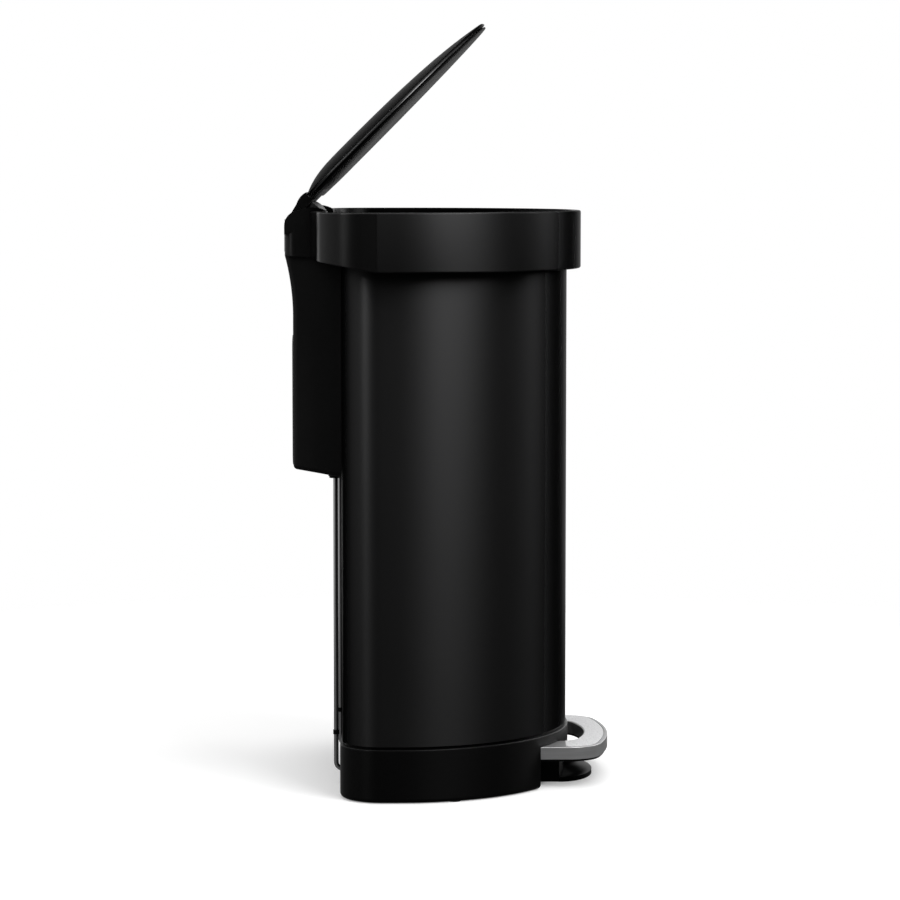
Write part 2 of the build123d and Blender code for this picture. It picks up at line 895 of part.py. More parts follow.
def lift_rod(side):
    x = side * rod_x
    leg_z = rod_low + rod_radius
    path = FilletPolyline(
        (x, rod_leg_end, leg_z),
        (x, rod_y, leg_z),
        (x, rod_y, rod_pin_z + 2 * rod_pin_radius),
        radius=rod_bend,
    )
    rod = sweep(Plane((x, rod_leg_end, leg_z), z_dir=(0, 1, 0)) * Circle(rod_radius), path=path)
    reach = (x, x + side * rod_pin_length)
    return rod + rod_along_x(rod_pin_radius, rod_y, rod_pin_z, min(reach), max(reach))


def rod_sleeves():
    """Spring sleeves that keep the rods from rattling in the base slots."""
    sleeves = []
    for x, y in guide_places():
        low = base_height - rod_sleeve_height / 2
        sleeve = peg(x, y, low, low + rod_sleeve_height, rod_sleeve_radius)
        sleeves.append(sleeve - peg(x, y, 0, can_height, rod_radius + run_fit))
    return group(sleeves)


def lift_arm(side):
    """Crank on the hinge pin, with a fork that the rod's pin pushes up."""
    far = crank_reach / math.cos(math.radians(crank_half_angle))
    fork_half = rod_pin_radius + free
    fork_root = crank_reach - free
    tip = far + rod_pin_radius
    plan = Pos(-tip / 2, 0) * Rectangle(tip, 2 * (fork_half + fork_wall)) + Circle(arm_hub_radius)
    fork = Pos(-fork_root, 0) * Circle(fork_half)
    fork += Pos(-fork_root - crank_reach / 2, 0) * Rectangle(crank_reach, 2 * fork_half)
    plan -= fork + Circle(pin_radius + run_fit)
    plan = Pos(hinge_y, hinge_z) * Rot(0, 0, crank_half_angle) * plan
    low = arm_inner_x if side > 0 else -arm_inner_x - arm_thick
    return across(plan, low, low + arm_thick)


# Lid, drawn shut

def lid_share(share, inset):
    """Plan of the lid drawn in towards its middle."""
    centre = dome_centre + (arc_y - dome_centre) * share
    back = dome_centre + (lid_rear - inset - dome_centre) * share
    return rounded_d((lid_radius - inset) * share, back, (lid_corner - inset) * share, centre)


def dome(sink, inset):
    """Pillow-shaped rise over the lid, from stacked plans of the lid."""
    low = lid_low + lid_lip_height
    plans = []
    for share in dome_shares:
        height = (lid_dome - sink) * (1 - share**dome_power)
        plans.append(Pos(0, 0, low + height) * lid_share(share, inset))
    return loft(plans)


def lid_shell():
    low = lid_low + lid_lip_height
    shell = prism(lid_plan(0), lid_low, low) + dome(0, 0)
    inside = prism(lid_plan(-lid_sheet), lid_low - over, low) + dome(lid_sheet, lid_sheet)
    return shell - inside


def tray(drop, inset):
    """Tapered dish that hangs into the mouth."""
    top = rim_low + lid_rim_thick
    wide = Pos(0, 0, top) * body_plan(-lid_tray_inset - inset)
    low = rim_low - lid_tray_depth + drop
    deep = Pos(0, 0, low) * body_plan(-lid_tray_inset - inset - lid_tray_taper)
    return loft([wide, deep])


def lid_inner():
    """Inner tray of the lid: a plate, a groove above it and a plug ring inside the shell."""
    top = rim_low + lid_rim_thick
    plate = prism(lid_plan(-lid_rim_inset), rim_low, top) + tray(0, 0)
    plate -= tray(lid_tray_wall, lid_tray_wall)
    tongue = neck_half_width + seat
    plate -= block((-tongue, tongue), (neck_front - seat, lid_rear), (rim_low - over, top))
    inside = lid_plan(-lid_groove_inset - lid_plug_wall)
    plate += prism(lid_plan(-lid_groove_inset) - inside, top, plug_top)
    plate += prism(lid_plan(-lid_sheet - seat) - inside, plug_low, plug_top)
    boss = (neck_front - neck_boss_lead, lid_rear - lid_groove_inset)
    plate += block((-neck_half_width, neck_half_width), boss, (top, plug_top))
    for x, y in lid_screw_places():
        plate -= peg(x, y, top - over, plug_top + over, screw_radius + seat)
    return plate


def lid_screw_places():
    y = neck_front + lid_screw_inset
    reach = (barrel_half_width / 2, barrel_half_width + lid_screw_inset)
    return [(side * x, y) for side in (-1, 1) for x in reach]


def lid_neck():
    """Arm behind the lid with its knuckles on the hinge pin."""
    low = rim_low
    high = low + lid_rim_thick - seat
    step = lid_rear + lid_gap
    rear = hinge_y - arm_hub_radius - 2 * fork_wall
    front_top = (step, can_height + neck_front_rise)
    rear_top = (rear, can_height + neck_rear_rise)
    slab = make_face(
        [
            Polyline(front_top, (step, high), (neck_front, high), (neck_front, low), (rear, low), rear_top),
            ThreePointArc(rear_top, ((step + rear) / 2, can_height + neck_rise), front_top),
        ]
    )
    neck = across(slab, -neck_half_width, neck_half_width)
    knuckle = make_face(
        Polyline((rear, low), rear_top, (hinge_y, can_height), (hinge_y, hinge_z), close=True)
    )
    knuckle += Pos(hinge_y, hinge_z) * Circle(barrel_radius)
    neck += across(knuckle, -barrel_half_width, barrel_half_width)
    lug_out = cheek_in - free
    lug_in = lug_out - neck_lug_thick
    for start in (lug_in, -lug_out):
        neck += across(knuckle, start, start + neck_lug_thick)
    neck -= rod_along_x(pin_radius + run_fit, hinge_y, hinge_z, -cheek_out, cheek_out)
    for x, y in lid_screw_places():
        neck -= peg(x, y, low - over, high + over, screw_radius - seat / 2)
    return neck


def neck_drum():
    """Round shield under the neck, concentric with the hinge."""
    def sector(outer):
        start = math.radians(drum_start)
        end = math.radians(drum_end)
        middle = (start + end) / 2
        points = [(outer * math.cos(a), outer * math.sin(a)) for a in (start, middle, end)]
        return make_face([Line((0, 0), points[0]), ThreePointArc(*points), Line(points[2], (0, 0))])

    place = Pos(hinge_y, hinge_z)
    hub = Circle(barrel_radius + seat)
    half = barrel_half_width - seat
    drum = across(place * (sector(drum_radius) - sector(drum_radius - drum_wall)), -half, half)
    for low in (-half, -drum_wall / 2, half - drum_wall):
        drum += across(place * (sector(drum_radius) - hub), low, low + drum_wall)
    return drum


def lid_bumpers():
    """Rubber buttons on the ledge that the shut lid comes down on."""
    reach = lid_radius - lid_gap - bumper_radius
    pads = []
    for angle in bumper_angles:
        x = reach * math.cos(math.radians(angle))
        y = arc_y - reach * math.sin(math.radians(angle))
        pads.append(peg(x, y, ledge_z, rim_low - free, bumper_radius))
    return group(pads)


def lid_screws():
    """Screws driven down from inside the lid into the tongue of the neck."""
    down = screw(plug_top - rim_low - merge, screw_radius - seat).rotate(Axis.X, 180)
    return group([Pos(x, y, plug_top) * down for x, y in lid_screw_places()])


pieces = {
    "body_shell": body_shell(),
    "bag_ring": bag_ring(),
    "base_pan": base_pan(),
    "front_foot": front_foot(),
    "foot_screws": foot_screws(),
    "foot_pads": foot_pads(),
    "base_screws": base_screws(),
    "collar_frame": collar_frame(),
    "collar_band": collar_band(),
    "hinge_cover": hinge_cover(),
    "hinge_pin": hinge_pin(),
    "hinge_bushes": hinge_bushes(),
    "liner_pocket": liner_pocket(),
    "pocket_panel": pocket_panel(),
    "pocket_screws": pocket_screws(),
    "rod_guides": rod_guides(),
    "pedal_axle": pedal_axle(),
    "axle_clips": axle_clips(),
    "pedal_cap": pedal_cap(),
    "pedal_grip": pedal_grip(),
    "pedal_frame": pedal_frame(),
    "pedal_bushes": pedal_bushes(),
    "lift_rod_left": lift_rod(-1),
    "lift_rod_right": lift_rod(1),
    "rod_sleeves": rod_sleeves(),
    "lift_arm_left": lift_arm(-1),
    "lift_arm_right": lift_arm(1),
    "lid_shell": raise_lid(lid_shell()),
    "lid_inner": raise_lid(lid_inner()),
    "lid_neck": raise_lid(lid_neck()),
    "neck_drum": raise_lid(neck_drum()),
    "lid_bumpers": lid_bumpers(),
    "lid_screws": raise_lid(lid_screws()),
}

os.makedirs("parts", exist_ok=True)
for name, shape in pieces.items():
    export_step(shape, f"parts/{name}.step")
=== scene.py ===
import json
import math

import bmesh
import bpy
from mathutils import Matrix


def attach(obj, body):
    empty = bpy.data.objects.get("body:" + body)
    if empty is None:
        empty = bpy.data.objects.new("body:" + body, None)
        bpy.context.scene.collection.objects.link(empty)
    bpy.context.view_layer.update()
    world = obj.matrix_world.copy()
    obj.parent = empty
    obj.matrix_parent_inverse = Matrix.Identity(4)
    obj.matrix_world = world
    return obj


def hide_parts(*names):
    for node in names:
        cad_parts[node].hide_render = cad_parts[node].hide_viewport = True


# Pedal bin in metres, +Z up, pedal towards -Y. The lid stands open, turned up about its hinge.
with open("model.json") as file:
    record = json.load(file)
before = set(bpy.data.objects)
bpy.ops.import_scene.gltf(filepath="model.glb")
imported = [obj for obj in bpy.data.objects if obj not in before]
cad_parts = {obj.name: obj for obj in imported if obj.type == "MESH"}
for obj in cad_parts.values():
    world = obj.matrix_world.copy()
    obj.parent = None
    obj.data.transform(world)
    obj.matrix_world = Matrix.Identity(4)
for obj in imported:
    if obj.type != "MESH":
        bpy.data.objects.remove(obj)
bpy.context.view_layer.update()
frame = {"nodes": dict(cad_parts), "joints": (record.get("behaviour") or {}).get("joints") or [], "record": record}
nodes = frame["nodes"]
hinge = next(joint for joint in frame["joints"] if joint["name"] == "lid_hinge")
hinge_place = tuple(hinge["pos_m"])

# Plan of the bin: the round front's centre line, points round the front and round a rear corner
arc_y = 0.057
outline_points = 256
corner_segments = 16

# Modelling: tolerance in picking, lift of a new edge, points round curves, axes, bend shaded smooth
hair = 0.00001
step_lift = 0.002
oval_points = 96
profile_steps = 5
cut_segments = 8
y_axis = 1
z_axis = 2
smooth_angle = math.radians(35.0)

# Rolled body, with the slot for liners in its back
body_radius = 0.192
body_back = 0.1185
body_corner = 0.045
body_wall = 0.001
body_low = 0.063
body_top = 0.6378
hem_width = 0.010
slot_centre = (0.0, 0.118, 0.5065)
slot_size = (0.112, 0.010, 0.090)
slot_corner = 0.012

# Steel band of the collar
band_radius = 0.208
band_back = 0.145
band_corner = 0.051
band_low = 0.5845
band_top = 0.650
band_sheet = 0.0012
band_flange = 0.0095
band_top_round = 0.002
band_low_round = 0.0022
band_end = 0.0773

# Pressed lid, drawn shut and then turned up about the hinge
lid_radius = 0.197
lid_rear = 0.134
lid_corner = 0.040
lid_low = 0.6475
lid_lip = 0.003
# Height of the lip's lower band, made lighter as a painted highlight
lid_lip_band = 0.0012
lid_sheet = 0.001
lid_edge_round = 0.0028
lid_edge_segments = 5
lid_rim_round = 0.0003
lid_rim_segments = 2
lid_rim_angle = math.radians(60.0)
lid_turn = math.radians(45.0)

# Crown of the lid, in rings that are shares of the lid's outline
lid_crown = 0.0128
crown_centre = 0.065
crown_power = 3.2
crown_shares = (1.0, 0.985, 0.965, 0.94, 0.91, 0.87, 0.82, 0.76, 0.69, 0.6, 0.5, 0.38, 0.25, 0.12)

# Moulded tray under the lid, with a notch for the neck
tray_inset = 0.0015
tray_low = 0.6439
tray_top = 0.6459
tray_round = 0.0006
ring_inset = 0.012
ring_wall = 0.002
ring_top = 0.6497
panel_inset = 0.014
panel_slope = 0.003
panel_drop = 0.0006
notch_centre = (0.0, 0.1298, 0.6444)
notch_size = (0.1764, 0.020, 0.003)

# Front foot: half sizes of its rim and neck, and the radius of the base that it is seated against
foot_place = (0.0, -0.1265, 0.0)
foot_rim = (0.064, 0.039)
foot_neck = (0.046, 0.024)
foot_rim_height = 0.006
foot_height = 0.020
foot_edge = 0.0008
foot_steps = 8
foot_curve = 2.2
foot_seat_radius = 0.1929
foot_seat_depth = 4 * foot_height

# Tread of the pedal: points inside the loop's radius are scaled about its rear, out to the inner edge
tread_rear = -0.1325
tread_loop_centre = -0.0115
tread_loop_radius = 0.153
tread_widen = (0.950, 0.874, 1.0)

# Surface effects: detail of the noises, and how much bluer than grey each colour is
grain_detail = 3.0
line_detail = 5.0
line_roughness = 0.65
patch_detail = 4.0
patch_distortion = 0.6
blue_tint = 1.01

# Moulded plastics: dark and light grey, roughness, grain size and depth, specular level, drawn shine
plastics = {
    "base_plastic": (0.0004, 0.001, 0.38, 0.0012, 0.00005, 0.07, 0.8),
    "foot_plastic": (0.0012, 0.002, 0.35, 0.0008, 0.00001, 0.03, 0.0),
    "black_plastic": (0.0012, 0.0022, 0.45, 0.0008, 0.00002, 0.1, 0.0),
    "lid_plastic": (0.002, 0.003, 0.5, 0.0008, 0.000001, 0.02, 0.0),
    "pocket_plastic": (0.002, 0.0045, 0.5, 0.0009, 0.00003, 0.13, 0.0),
    "grained_plastic": (0.0006, 0.0012, 0.37, 0.0011, 0.00006, 0.15, 0.8),
    "grey_plastic": (0.035, 0.045, 0.45, 0.0008, 0.00002, 0.15, 0.0),
    "nylon": (0.55, 0.62, 0.4, 0.0008, 0.00002, 0.4, 0.0),
    "rubber": (0.01, 0.016, 0.7, 0.0007, 0.00003, 0.2, 0.0),
    "grip_silver": (0.34, 1.0, 0.5, 0.0015, 0.0001, 0.4, 0.0),
}
plastic_patches = 7.0
plastic_gloss_spread = 0.06
plastic_bump = 0.5

# Coated steels: dark and light grey, roughness, grey at grazing angles, drawn shine
coatings = {
    "body_steel": (0.014, 0.019, 0.45, 0.3, 0.8),
    "collar_steel": (0.015, 0.022, 0.45, 0.3, 0.8),
    "lid_steel": (0.009, 0.013, 0.36, 0.06, 0.0),
    # The lip is lighter and glossier than the lid: a painted highlight along its edge
    "lid_lip": (0.026, 0.034, 0.25, 0.3, 0.0),
}
coating_grain = 0.0006
coating_depth = 0.000003
coating_patches = 4.0
coating_gloss_spread = 0.03
coating_bump = 0.2

# Bare steels: pattern scale along X, Y and Z, dark and light grey, roughness, metallic share
bare_steels = {
    "rod_steel": ((900.0, 900.0, 30.0), 0.45, 0.6, 0.22, 1.0),
    "pedal_steel": ((25.0, 25.0, 1500.0), 0.2, 0.34, 0.35, 0.6),
    "screw_steel": ((700.0, 700.0, 700.0), 0.4, 0.55, 0.3, 1.0),
}
bare_depth = 0.00002
bare_gloss_spread = 0.08
bare_bump = 0.3
steel_specular = 0.5
drawn_upright = 0.25

# Camera, as the photograph was taken
camera_place = (-3.71145, -0.0015, 0.70188)
camera_tilt = math.radians(5.040)
camera_lens = 129.506
sensor_width = 36.0

# Lamps: name, turn to the right of the camera, height angle, distance, width, height, watts
aim_height = 0.38
softboxes = (
    ("key_softbox", 38.0, 46.0, 2.4, 1.1, 1.1, 42.0),
    ("top_softbox", 10.0, 80.0, 2.2, 1.5, 1.5, 26.0),
)

# Lamps that light shiny surfaces alone, in the same terms
strips = (
    ("key_strip", 43.0, 42.0, 2.3, 1.5, 1.5, 33.0),
    ("corner_strip", -49.0, 42.0, 2.3, 0.5, 1.5, 34.0),
    ("rim_strip", 111.0, 30.0, 2.3, 1.0, 1.8, 42.0),
    ("far_strip", 135.0, 14.0, 2.3, 1.4, 1.5, 10.0),
    ("back_strip", -95.0, 40.0, 2.3, 2.2, 1.6, 22.0),
)

# Studio: fill light, and what shiny surfaces see upwards, towards +X (backdrop) and +Y (behind)
fill_light = 0.25
horizon_gloss = 0.05
sky_gloss = 0.9
sky_range = (0.15, 0.85)
backdrop_gloss = 1.0
backdrop_range = (0.45, 0.95)
behind_gloss = 0.5
behind_range = (0.3, 0.95)

# Floor, which is clear at its edge and dim in shiny surfaces
floor_radius = 1.7
floor_fade = (0.55 * floor_radius, 0.95 * floor_radius)
floor_colour = (0.9, 0.9, 0.9, 1.0)
floor_gloss = 0.12

# Glow that keeps the floor white to the camera: its share grows over a range towards the backdrop
# The share's growth towards the backdrop is a painted wash of light that pales the shadow behind the bin
floor_share = (0.33, 0.385)
floor_wash = (0.05, 0.25)
floor_glow = 1.9

# Painted contact shadow: the floor's glow close to a piece, the reach of this shadow and its samples
floor_painted_shadow_glow = 0.9
floor_painted_shadow_reach = 0.12
floor_painted_shadow_samples = 8

# Plan under the bin, where the floor has no glow
plan_radius = 0.186
plan_back = 0.113
plan_edge = (0.9, 1.0)


# Shader helpers

def new_group(name, inputs, outputs):
    """Empty shader node group with its sockets; returns the tree and its two end nodes."""
    tree = bpy.data.node_groups.new(name, "ShaderNodeTree")
    for label, kind, value in inputs:
        socket = tree.interface.new_socket(label, in_out="INPUT", socket_type=kind)
        socket.default_value = value
    for label, kind in outputs:
        tree.interface.new_socket(label, in_out="OUTPUT", socket_type=kind)
    start = tree.nodes.new("NodeGroupInput")
    end = tree.nodes.new("NodeGroupOutput")
    return tree, start, end


def add(tree, kind, **settings):
    """New node with its settings made."""
    node = tree.nodes.new(kind)
    for label, value in settings.items():
        setattr(node, label, value)
    return node


def math_node(tree, operation, first, second):
    """Math node whose inputs are sockets or plain numbers."""
    node = add(tree, "ShaderNodeMath", operation=operation)
    for slot, value in zip(node.inputs, (first, second)):
        if isinstance(value, (int, float)):
            slot.default_value = value
        else:
            tree.links.new(value, slot)
    return node.outputs[0]


def mapped(tree, value, low, high):
    """A value from 0 to 1 spread between two numbers."""
    node = add(tree, "ShaderNodeMapRange")
    tree.links.new(value, node.inputs["Value"])
    node.inputs["To Min"].default_value = low
    node.inputs["To Max"].default_value = high
    return node.outputs["Result"]


def smooth_range(tree, value, start, end, low=0.0, high=1.0):
    """A value eased from low to high as it passes from start to end."""
    node = add(tree, "ShaderNodeMapRange", interpolation_type="SMOOTHSTEP")
    tree.links.new(value, node.inputs["Value"])
    node.inputs["From Min"].default_value = start
    node.inputs["From Max"].default_value = end
    node.inputs["To Min"].default_value = low
    node.inputs["To Max"].default_value = high
    return node.outputs["Result"]


def mix_shaders(tree, share, first, second):
    """Blend of two shaders; a share of 1 gives the second."""
    node = add(tree, "ShaderNodeMixShader")
    tree.links.new(share, node.inputs["Fac"])
    tree.links.new(first, node.inputs[1])
    tree.links.new(second, node.inputs[2])
    return node.outputs["Shader"]


# Surface effects that several materials share

def grain_group():
    """Spark-eroded mould grain: Height for bump and a Tone that follows it."""
    tree, start, end = new_group(
        "mould_grain",
        [("Size", "NodeSocketFloat", 1.0)],
        [("Height", "NodeSocketFloat"), ("Tone", "NodeSocketFloat")],
    )
    place = add(tree, "ShaderNodeTexCoord")
    scale = math_node(tree, "DIVIDE", 1.0, start.outputs["Size"])
    cells = add(tree, "ShaderNodeTexVoronoi", feature="SMOOTH_F1")
    noise = add(tree, "ShaderNodeTexNoise")
    noise.inputs["Detail"].default_value = grain_detail
    for texture in (cells, noise):
        tree.links.new(place.outputs["Object"], texture.inputs["Vector"])
        tree.links.new(scale, texture.inputs["Scale"])
    height = math_node(tree, "ADD", cells.outputs["Distance"], noise.outputs["Fac"])
    tree.links.new(math_node(tree, "MULTIPLY", height, 0.5), end.inputs["Height"])
    tree.links.new(noise.outputs["Fac"], end.inputs["Tone"])
    return tree


def brushing_group():
    """Fine lines drawn along one axis of the piece."""
    tree, start, end = new_group(
        "brushing",
        [("Along", "NodeSocketVector", (1.0, 1.0, 1.0))],
        [("Height", "NodeSocketFloat"), ("Tone", "NodeSocketFloat")],
    )
    place = add(tree, "ShaderNodeTexCoord")
    stretch = add(tree, "ShaderNodeVectorMath", operation="MULTIPLY")
    tree.links.new(place.outputs["Object"], stretch.inputs[0])
    tree.links.new(start.outputs["Along"], stretch.inputs[1])
    fine = add(tree, "ShaderNodeTexNoise")
    fine.inputs["Scale"].default_value = 1.0
    fine.inputs["Detail"].default_value = line_detail
    fine.inputs["Roughness"].default_value = line_roughness
    tree.links.new(stretch.outputs["Vector"], fine.inputs["Vector"])
    tree.links.new(fine.outputs["Fac"], end.inputs["Height"])
    tree.links.new(fine.outputs["Fac"], end.inputs["Tone"])
    return tree


def handling_group():
    """Broad, faint patches left by hands and cloths, from 0 to 1."""
    tree, start, end = new_group(
        "handling", [("Spread", "NodeSocketFloat", 1.0)], [("Patches", "NodeSocketFloat")]
    )
    place = add(tree, "ShaderNodeTexCoord")
    broad = add(tree, "ShaderNodeTexNoise")
    broad.inputs["Detail"].default_value = patch_detail
    broad.inputs["Distortion"].default_value = patch_distortion
    tree.links.new(place.outputs["Object"], broad.inputs["Vector"])
    tree.links.new(start.outputs["Spread"], broad.inputs["Scale"])
    tree.links.new(broad.outputs["Fac"], end.inputs["Patches"])
    return tree


groups = {"grain": grain_group(), "brushing": brushing_group(), "handling": handling_group()}


def use_group(tree, name, **values):
    """Places a shared effect in a material, with its own values."""
    node = add(tree, "ShaderNodeGroup", node_tree=groups[name])
    for label, value in values.items():
        node.inputs[label].default_value = value
    return node


# Materials

def new_material(name, specular, metallic):
    """New material; returns it with its node tree and its shader."""
    material = bpy.data.materials.new(name)
    material.use_nodes = True
    tree = material.node_tree
    shader = tree.nodes["Principled BSDF"]
    shader.inputs["Specular IOR Level"].default_value = specular
    shader.inputs["Metallic"].default_value = metallic
    return material, tree, shader


def set_colour(tree, shader, tone, dark, light):
    """Colour between two greys that follows a tone."""
    shades = add(tree, "ShaderNodeMix", data_type="RGBA")
    tree.links.new(tone, shades.inputs["Factor"])
    shades.inputs["A"].default_value = (dark, dark, dark * blue_tint, 1.0)
    shades.inputs["B"].default_value = (light, light, light * blue_tint, 1.0)
    tree.links.new(shades.outputs["Result"], shader.inputs["Base Color"])


def set_gloss(tree, shader, mask, rough, spread):
    """Roughness that a mask spreads to both sides of its middle value."""
    gloss = mapped(tree, mask, rough - spread, rough + spread)
    tree.links.new(gloss, shader.inputs["Roughness"])


def set_bump(tree, shader, height, depth, strength):
    """Raises a height map on the surface, depth in metres."""
    node = add(tree, "ShaderNodeBump")
    node.inputs["Strength"].default_value = strength
    node.inputs["Distance"].default_value = depth
    tree.links.new(height, node.inputs["Height"])
    tree.links.new(node.outputs["Normal"], shader.inputs["Normal"])


def set_drawn(shader, drawn):
    """Draws the shine out, upright on a standing wall."""
    shader.inputs["Anisotropic"].default_value = drawn
    shader.inputs["Anisotropic Rotation"].default_value = drawn_upright


def moulded(name, dark, light, rough, size, depth, specular, drawn):
    """Moulded plastic: grain in its bump and colour, handling patches in its gloss."""
    material, tree, shader = new_material(name, specular, 0.0)
    grain = use_group(tree, "grain", Size=size)
    patches = use_group(tree, "handling", Spread=plastic_patches)
    set_colour(tree, shader, grain.outputs["Tone"], dark, light)
    set_gloss(tree, shader, patches.outputs["Patches"], rough, plastic_gloss_spread)
    set_bump(tree, shader, grain.outputs["Height"], depth, plastic_bump)
    set_drawn(shader, drawn)
    return material


def coated_steel(name, dark, light, rough, edge, drawn):
    """Satin black coating on sheet steel: a dark metal that stays dark at grazing angles."""
    material, tree, shader = new_material(name, steel_specular, 1.0)
    shader.inputs["Specular Tint"].default_value = (edge, edge, edge, 1.0)
    grain = use_group(tree, "grain", Size=coating_grain)
    patches = use_group(tree, "handling", Spread=coating_patches)
    set_colour(tree, shader, grain.outputs["Tone"], dark, light)
    set_gloss(tree, shader, patches.outputs["Patches"], rough, coating_gloss_spread)
    set_bump(tree, shader, grain.outputs["Height"], coating_depth, coating_bump)
    set_drawn(shader, drawn)
    return material


def bare_steel(name, along, dark, light, rough, metallic):
    """Bare steel with drawn lines; less metallic where it is blasted rather than polished."""
    material, tree, shader = new_material(name, steel_specular, metallic)
    lines = use_group(tree, "brushing", Along=along)
    set_colour(tree, shader, lines.outputs["Tone"], dark, light)
    set_gloss(tree, shader, lines.outputs["Tone"], rough, bare_gloss_spread)
    set_bump(tree, shader, lines.outputs["Height"], bare_depth, bare_bump)
    return material


materials = {}
for maker, looks in ((moulded, plastics), (coated_steel, coatings), (bare_steel, bare_steels)):
    for name, look in looks.items():
        materials[name] = maker(name, *look)


def finish_node(node, material):
    """Gives a CAD node its material."""
    mesh = nodes[node].data
    mesh.materials.clear()
    mesh.materials.append(material)


for subpart in frame["record"]["subparts"]:
    finish_node(subpart["node"], materials[subpart["material_slot"]])


# Modelling helpers

def leave_edit():
    """Back to object mode, with nothing selected."""
    if bpy.context.object and bpy.context.object.mode != "OBJECT":
        bpy.ops.object.mode_set(mode="OBJECT")
    bpy.ops.object.select_all(action="DESELECT")


def open_piece(piece):
    """Opens a piece in edit mode, with all of it selected."""
    leave_edit()
    bpy.context.view_layer.objects.active = piece
    bpy.ops.object.mode_set(mode="EDIT")
    bpy.ops.mesh.select_all(action="SELECT")


def pick(test):
    """Selects the points of the piece in hand whose place passes a test."""
    mesh = bmesh.from_edit_mesh(bpy.context.object.data)
    for point in mesh.verts:
        point.select = bool(test(point.co))
    mesh.select_flush_mode()
    mesh.select_flush(True)
    bmesh.update_edit_mesh(bpy.context.object.data)


def face_outwards():
    """Turns all faces of the piece in hand outwards."""
    bpy.ops.mesh.select_all(action="SELECT")
    bpy.ops.mesh.normals_make_consistent(inside=False)


def raise_edges(rise):
    """Extrudes the picked edges straight up."""
    bpy.ops.mesh.extrude_edges_move(TRANSFORM_OT_translate={"value": (0, 0, rise)})


def apply_modifier(piece, kind, **settings):
    """Finishes the active piece with a modifier."""
    modifier = piece.modifiers.new(kind, kind)
    for label, value in settings.items():
        setattr(modifier, label, value)
    bpy.ops.object.modifier_apply(modifier=modifier.name)


def d_outline(name, radius, back, corner, height):
    """Starts a piece as a wire D: round in front, straight sides, rounded corners, flat back."""
    leave_edit()
    bpy.ops.mesh.primitive_circle_add(
        vertices=outline_points, radius=radius, fill_type="NOTHING", location=(0, arc_y, height)
    )
    piece = bpy.context.object
    piece.name = name
    bpy.ops.object.transform_apply(location=True, rotation=True, scale=True)
    open_piece(piece)
    pick(lambda point: point.y > arc_y + hair)
    bpy.ops.mesh.delete(type="VERT")
    pick(lambda point: point.y > arc_y - hair)
    bpy.ops.mesh.extrude_vertices_move(TRANSFORM_OT_translate={"value": (0, back - arc_y, 0)})
    pick(lambda point: point.y > back - hair)
    bpy.ops.mesh.edge_face_add()
    pick(lambda point: point.y > back - hair)
    bpy.ops.mesh.bevel(offset=corner, segments=corner_segments, affect="VERTICES", profile=0.5)
    return piece


def first_wall(height, rise):
    """Carries the outline up into its first wall, faces outwards, and keeps its top edge picked."""
    bpy.ops.mesh.select_all(action="SELECT")
    raise_edges(rise)
    face_outwards()
    pick(lambda point: point.z > height + rise - hair)


def wall_step(outset, rise, lift=step_lift):
    """Carries the picked edge on by a distance outwards and upwards."""
    raise_edges(lift)
    if outset:
        bpy.ops.transform.shrink_fatten(value=outset)
    bpy.ops.transform.translate(value=(0, 0, rise - lift))


def carry(profile):
    """Carries the outline along a wall profile of (outset, height) points and closes it."""
    first_wall(profile[0][1], profile[1][1] - profile[0][1])
    for before, after in zip(profile[1:], profile[2:]):
        wall_step(after[0] - before[0], after[1] - before[1])
    bpy.ops.mesh.select_all(action="DESELECT")
    bpy.ops.mesh.select_non_manifold()
    bpy.ops.mesh.bridge_edge_loops()
    face_outwards()


def round_corner(centre, radius, start, end):
    """Points of a rounded edge in a wall profile, between two angles in degrees."""
    points = []
    for step in range(profile_steps + 1):
        angle = math.radians(start + (end - start) * step / profile_steps)
        points.append((centre[0] + radius * math.cos(angle), centre[1] + radius * math.sin(angle)))
    return points


def subtract(piece, cutter):
    """Takes a cutting shape out of a piece and throws the shape away."""
    leave_edit()
    bpy.context.view_layer.objects.active = piece
    apply_modifier(piece, "BOOLEAN", operation="DIFFERENCE", object=cutter)
    bpy.data.objects.remove(cutter)


def cut_block(piece, centre, size, corner, along):
    """Cuts a block out of a piece, its edges along one axis rounded."""
    leave_edit()
    bpy.ops.mesh.primitive_cube_add(size=1.0, location=centre, scale=size)
    cutter = bpy.context.object
    bpy.ops.object.transform_apply(location=True, rotation=True, scale=True)
    open_piece(cutter)
    mesh = bmesh.from_edit_mesh(cutter.data)
    for edge in mesh.edges:
        edge.select = abs(edge.verts[0].co[along] - edge.verts[1].co[along]) > size[along] / 2
    bmesh.update_edit_mesh(cutter.data)
    bpy.ops.mesh.bevel(offset=corner, segments=cut_segments, affect="EDGES")
    subtract(piece, cutter)


def raise_lid(piece):
    """Turns a piece of the shut lid up to its place at rest, and leaves it active."""
    open_piece(piece)
    bpy.ops.transform.rotate(value=lid_turn, orient_axis="X", center_override=hinge_place)
    leave_edit()
    bpy.context.view_layer.objects.active = piece


def finish_piece(piece, body, slot, *replaced):
    """Leaves edit mode, smooths the piece and hands it to its body in place of CAD nodes."""
    leave_edit()
    piece.select_set(True)
    bpy.context.view_layer.objects.active = piece
    bpy.ops.object.shade_smooth_by_angle(angle=smooth_angle)
    piece.data.materials.clear()
    piece.data.materials.append(materials[slot])
    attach(piece, body)
    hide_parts(*replaced)


# Pieces of the can

def rolled_body():
    """Rolled steel body with a turned-in hem at its foot and the liner slot in its back."""
    piece = d_outline("rolled_body", body_radius, body_back, body_corner, body_low)
    half = body_wall / 2
    hem_top = body_low + body_wall
    carry(
        [(0.0, body_low), (0.0, body_top - half)]
        + round_corner((-half, body_top - half), half, 0.0, 180.0)[1:]
        + [(-body_wall, hem_top), (-hem_width, hem_top), (-hem_width, body_low)]
    )
    cut_block(piece, slot_centre, slot_size, slot_corner, y_axis)
    finish_piece(piece, "can", "body_steel", "body_shell")


